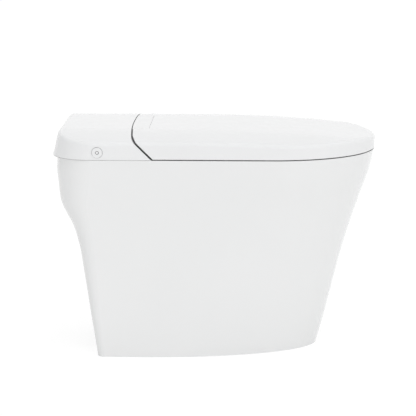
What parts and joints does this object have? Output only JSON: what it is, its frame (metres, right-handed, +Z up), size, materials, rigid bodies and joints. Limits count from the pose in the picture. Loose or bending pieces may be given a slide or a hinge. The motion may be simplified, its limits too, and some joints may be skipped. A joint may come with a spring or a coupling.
{
  "type": "tankless toilet",
  "caption": "Low tankless toilet with a skirted glazed bowl, soft-close lid and heated seat on one hinge line, wash nozzle, warm-air dryer and a side dial.",
  "frame": {"origin": "on the floor under the middle of the whole", "axes": "+Z up, -Y to the front of the bowl, +Y to the wall, dial on the -X side"},
  "size_m": [0.3858, 0.6786, 0.4832],
  "materials": {
    "glazed_china": "opaque white glazed vitreous china",
    "lid_plastic": "gloss white",
    "seat_plastic": "gloss white",
    "window_plastic": "gloss white, slightly darker than the lid",
    "chassis_plastic": "light grey, moulded",
    "dark_plastic": "black, moulded",
    "works_plastic": "off-white, moulded",
    "blue_plastic": "translucent blue",
    "rubber_grey": "grey, soft",
    "rubber_black": "black",
    "steel": "zinc plated",
    "stainless": "brushed stainless",
    "chrome": "bright",
    "brass": "machined",
    "board_green": "green laminate",
    "component_black": "moulded",
    "heater_foil": "amber film",
    "filter_carbon": "open-pored"
  },
  "bodies": {
    "stand": {"ceramic_body": "glazed_china", "floor_adapter": "dark_plastic", "outlet_seal": "rubber_black", "base_brackets": "steel", "lid_actuator": "dark_plastic", "seat_actuator": "dark_plastic", "hinge_blocks": "works_plastic", "housing_cover": "lid_plastic", "housing_base": "chassis_plastic", "base_bolts": "steel", "cover_screws": "steel", "power_gland": "dark_plastic", "dial_bezel": "chassis_plastic", "dial_encoder": "dark_plastic", "nozzle_cradle": "chassis_plastic", "nozzle_motor": "steel", "dryer_housing": "works_plastic", "dryer_motor": "steel", "dryer_duct": "works_plastic", "flap_pin": "stainless", "odour_housing": "works_plastic", "odour_motor": "steel", "odour_cartridge": "dark_plastic", "odour_filter": "filter_carbon", "inlet_valve": "brass", "inlet_locknut": "brass", "inlet_filter": "works_plastic", "booster_pump": "dark_plastic", "flush_valve": "works_plastic", "valve_coil": "blue_plastic", "wash_valve": "works_plastic", "water_heater": "stainless", "rim_hose": "rubber_black", "jet_hose": "rubber_black", "link_pipes": "blue_plastic", "power_supply": "dark_plastic", "control_board": "board_green", "board_parts": "component_black"},
    "seat": {"seat_ring": "seat_plastic", "seat_base": "seat_plastic", "seat_heater": "heater_foil", "seat_bumpers": "rubber_grey", "seat_arms": "chassis_plastic", "seat_shafts": "stainless"},
    "lid": {"lid_shell": "lid_plastic", "lid_inner_panel": "lid_plastic", "lid_window": "window_plastic", "display_board": "board_green", "lid_bumpers": "rubber_grey", "lid_arms": "chassis_plastic", "lid_shafts": "stainless"},
    "nozzle": {"nozzle_wand": "works_plastic", "nozzle_tip": "stainless"},
    "pinion": {"nozzle_pinion": "works_plastic"},
    "dial": {"side_dial": "lid_plastic"},
    "button": {"dial_button": "lid_plastic"},
    "dryer_rotor": {"dryer_fan": "blue_plastic"},
    "flap": {"dryer_flap": "works_plastic"},
    "odour_rotor": {"odour_fan": "blue_plastic"}
  },
  "joints": [
    {"name": "seat_lift", "type": "hinge", "parent": "stand", "child": "seat", "pos_m": [0, 0.2038, 0.471], "axis": [1, 0, 0], "range_deg": [-95, 0]},
    {"name": "lid_lift", "type": "hinge", "parent": "seat", "child": "lid", "pos_m": [0, 0.2038, 0.471], "axis": [-1, 0, 0], "range_deg": [0, 100]},
    {"name": "nozzle_slide", "type": "slide", "parent": "stand", "child": "nozzle", "axis": [0, -0.9397, -0.342], "range_m": [0, 0.09]},
    {"name": "pinion_turn", "type": "hinge", "parent": "stand", "child": "pinion", "pos_m": [0, 0.18346, 0.45347], "axis": [-1, 0, 0], "range_deg": [0, 737]},
    {"name": "dial_turn", "type": "hinge", "parent": "stand", "child": "dial", "pos_m": [-0.19, 0.2391, 0.4482], "axis": [1, 0, 0], "range_deg": [-30, 30]},
    {"name": "button_press", "type": "slide", "parent": "dial", "child": "button", "axis": [1, 0, 0], "range_m": [0, 0.0015], "stiffness_N_per_m": 400, "springref_m": -0.001},
    {"name": "dryer_spin", "type": "hinge", "parent": "stand", "child": "dryer_rotor", "pos_m": [-0.05, 0.262, 0.41], "axis": [0, 0, 1], "continuous": true},
    {"name": "flap_swing", "type": "hinge", "parent": "stand", "child": "flap", "pos_m": [-0.027, 0.1015, 0.428], "axis": [-1, 0, 0], "range_deg": [0, 70]},
    {"name": "odour_spin", "type": "hinge", "parent": "stand", "child": "odour_rotor", "pos_m": [0.028, 0.158, 0.4], "axis": [0, 1, 0], "continuous": true}
  ],
  "couplings": [
    {"joint": "pinion_turn", "follows": "nozzle_slide", "rad_per_m": 142.86}
  ]
}
